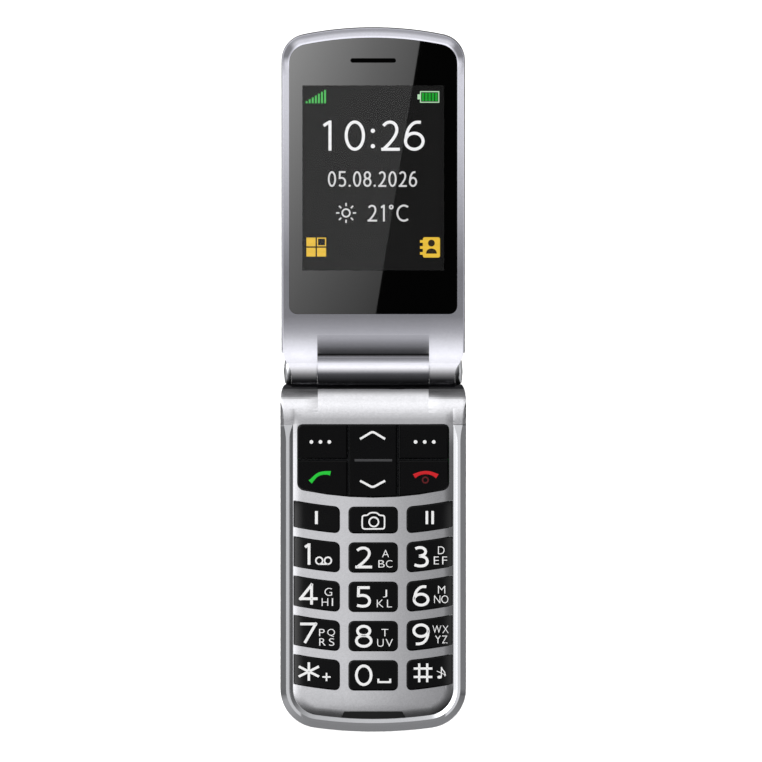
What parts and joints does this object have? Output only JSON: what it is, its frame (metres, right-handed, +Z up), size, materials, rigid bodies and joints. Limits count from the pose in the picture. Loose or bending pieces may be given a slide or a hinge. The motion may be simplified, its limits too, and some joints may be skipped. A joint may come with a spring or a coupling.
{
  "type": "flip phone",
  "caption": "Clamshell phone with large lettered keys, a camera key and a tall window over the display, lying open flat on its back.",
  "frame": {"origin": "centre of the open phone's outline, at the level of the base unit's back", "axes": "+X to the right as the display is read, +Y towards the free end of the lid, +Z up out of the keypad and the display"},
  "size_m": [0.052, 0.1974, 0.0162],
  "materials": {
    "silver": "satin silver paint",
    "bright_trim": "bright plated",
    "black_gloss": "gloss",
    "key_black": "satin gloss",
    "charcoal": "fine texture",
    "battery_label": "wrapped in a plain label",
    "contact_gold": "plated",
    "board_green": "solder mask",
    "dome_film": "film",
    "keymat_rubber": "silicone",
    "steel": "plain",
    "dark_parts": "moulded",
    "flex_film": "polyimide film",
    "window_black": "high gloss",
    "display_glass": "lit picture, dark background",
    "mesh_black": "fine woven",
    "camera_glass": "high gloss",
    "plug_rubber": "matt"
  },
  "bodies": {
    "base": {"keypad_plate": "silver", "base_trim": "bright_trim", "slot_insert": "black_gloss", "rear_housing": "charcoal", "battery_cover": "charcoal", "battery": "battery_label", "battery_contacts": "contact_gold", "main_board": "board_green", "dome_sheet": "dome_film", "keymat": "keymat_rubber", "rf_shield": "steel", "sim_holder": "steel", "loudspeaker": "dark_parts", "vibration_motor": "steel", "microphone": "steel", "antenna": "dark_parts", "charging_socket": "steel", "base_screws": "steel", "hinge_module": "steel", "hinge_follower": "steel", "hinge_spring": "steel", "base_flex": "flex_film"},
    "lid": {"lid_frame": "silver", "lid_rear_cover": "charcoal", "display_lens": "window_black", "display_module": "display_glass", "earpiece": "dark_parts", "earpiece_mesh": "mesh_black", "lid_board": "board_green", "camera_module": "dark_parts", "camera_window": "camera_glass", "closing_magnet": "steel", "lid_screws": "steel", "lid_screw_plugs": "plug_rubber", "lid_flex": "flex_film", "hinge_cam_head": "steel", "hinge_shaft": "steel", "hinge_caps": "bright_trim"},
    "softkey_left": {"softkey_left": "key_black"},
    "softkey_right": {"softkey_right": "key_black"},
    "call_key": {"call_key": "key_black"},
    "end_key": {"end_key": "key_black"},
    "navigation_rocker": {"navigation_rocker": "key_black"},
    "memory_key_1": {"memory_key_1": "key_black"},
    "camera_key": {"camera_key": "key_black"},
    "memory_key_2": {"memory_key_2": "key_black"},
    "key_1": {"key_1": "key_black"},
    "key_2": {"key_2": "key_black"},
    "key_3": {"key_3": "key_black"},
    "key_4": {"key_4": "key_black"},
    "key_5": {"key_5": "key_black"},
    "key_6": {"key_6": "key_black"},
    "key_7": {"key_7": "key_black"},
    "key_8": {"key_8": "key_black"},
    "key_9": {"key_9": "key_black"},
    "key_star": {"key_star": "key_black"},
    "key_0": {"key_0": "key_black"},
    "key_hash": {"key_hash": "key_black"}
  },
  "joints": [
    {"name": "lid_hinge", "type": "hinge", "parent": "base", "child": "lid", "pos_m": [0, 0.0022, 0.0116], "axis": [1, 0, 0], "range_deg": [0, 180]},
    {"name": "softkey_left_press", "type": "slide", "parent": "base", "child": "softkey_left", "axis": [0, 0, -1], "range_m": [0, 0.00035], "stiffness_N_per_m": 400},
    {"name": "softkey_right_press", "type": "slide", "parent": "base", "child": "softkey_right", "axis": [0, 0, -1], "range_m": [0, 0.00035], "stiffness_N_per_m": 400},
    {"name": "call_key_press", "type": "slide", "parent": "base", "child": "call_key", "axis": [0, 0, -1], "range_m": [0, 0.00035], "stiffness_N_per_m": 400},
    {"name": "end_key_press", "type": "slide", "parent": "base", "child": "end_key", "axis": [0, 0, -1], "range_m": [0, 0.00035], "stiffness_N_per_m": 400},
    {"name": "memory_key_1_press", "type": "slide", "parent": "base", "child": "memory_key_1", "axis": [0, 0, -1], "range_m": [0, 0.00035], "stiffness_N_per_m": 400},
    {"name": "camera_key_press", "type": "slide", "parent": "base", "child": "camera_key", "axis": [0, 0, -1], "range_m": [0, 0.00035], "stiffness_N_per_m": 400},
    {"name": "memory_key_2_press", "type": "slide", "parent": "base", "child": "memory_key_2", "axis": [0, 0, -1], "range_m": [0, 0.00035], "stiffness_N_per_m": 400},
    {"name": "key_1_press", "type": "slide", "parent": "base", "child": "key_1", "axis": [0, 0, -1], "range_m": [0, 0.00035], "stiffness_N_per_m": 400},
    {"name": "key_2_press", "type": "slide", "parent": "base", "child": "key_2", "axis": [0, 0, -1], "range_m": [0, 0.00035], "stiffness_N_per_m": 400},
    {"name": "key_3_press", "type": "slide", "parent": "base", "child": "key_3", "axis": [0, 0, -1], "range_m": [0, 0.00035], "stiffness_N_per_m": 400},
    {"name": "key_4_press", "type": "slide", "parent": "base", "child": "key_4", "axis": [0, 0, -1], "range_m": [0, 0.00035], "stiffness_N_per_m": 400},
    {"name": "key_5_press", "type": "slide", "parent": "base", "child": "key_5", "axis": [0, 0, -1], "range_m": [0, 0.00035], "stiffness_N_per_m": 400},
    {"name": "key_6_press", "type": "slide", "parent": "base", "child": "key_6", "axis": [0, 0, -1], "range_m": [0, 0.00035], "stiffness_N_per_m": 400},
    {"name": "key_7_press", "type": "slide", "parent": "base", "child": "key_7", "axis": [0, 0, -1], "range_m": [0, 0.00035], "stiffness_N_per_m": 400},
    {"name": "key_8_press", "type": "slide", "parent": "base", "child": "key_8", "axis": [0, 0, -1], "range_m": [0, 0.00035], "stiffness_N_per_m": 400},
    {"name": "key_9_press", "type": "slide", "parent": "base", "child": "key_9", "axis": [0, 0, -1], "range_m": [0, 0.00035], "stiffness_N_per_m": 400},
    {"name": "key_star_press", "type": "slide", "parent": "base", "child": "key_star", "axis": [0, 0, -1], "range_m": [0, 0.00035], "stiffness_N_per_m": 400},
    {"name": "key_0_press", "type": "slide", "parent": "base", "child": "key_0", "axis": [0, 0, -1], "range_m": [0, 0.00035], "stiffness_N_per_m": 400},
    {"name": "key_hash_press", "type": "slide", "parent": "base", "child": "key_hash", "axis": [0, 0, -1], "range_m": [0, 0.00035], "stiffness_N_per_m": 400},
    {"name": "navigation_tilt", "type": "hinge", "parent": "base", "child": "navigation_rocker", "pos_m": [0, -0.02285, 0.00885], "axis": [1, 0, 0], "range_deg": [-2, 2], "stiffness_Nm_per_rad": 0.06}
  ]
}
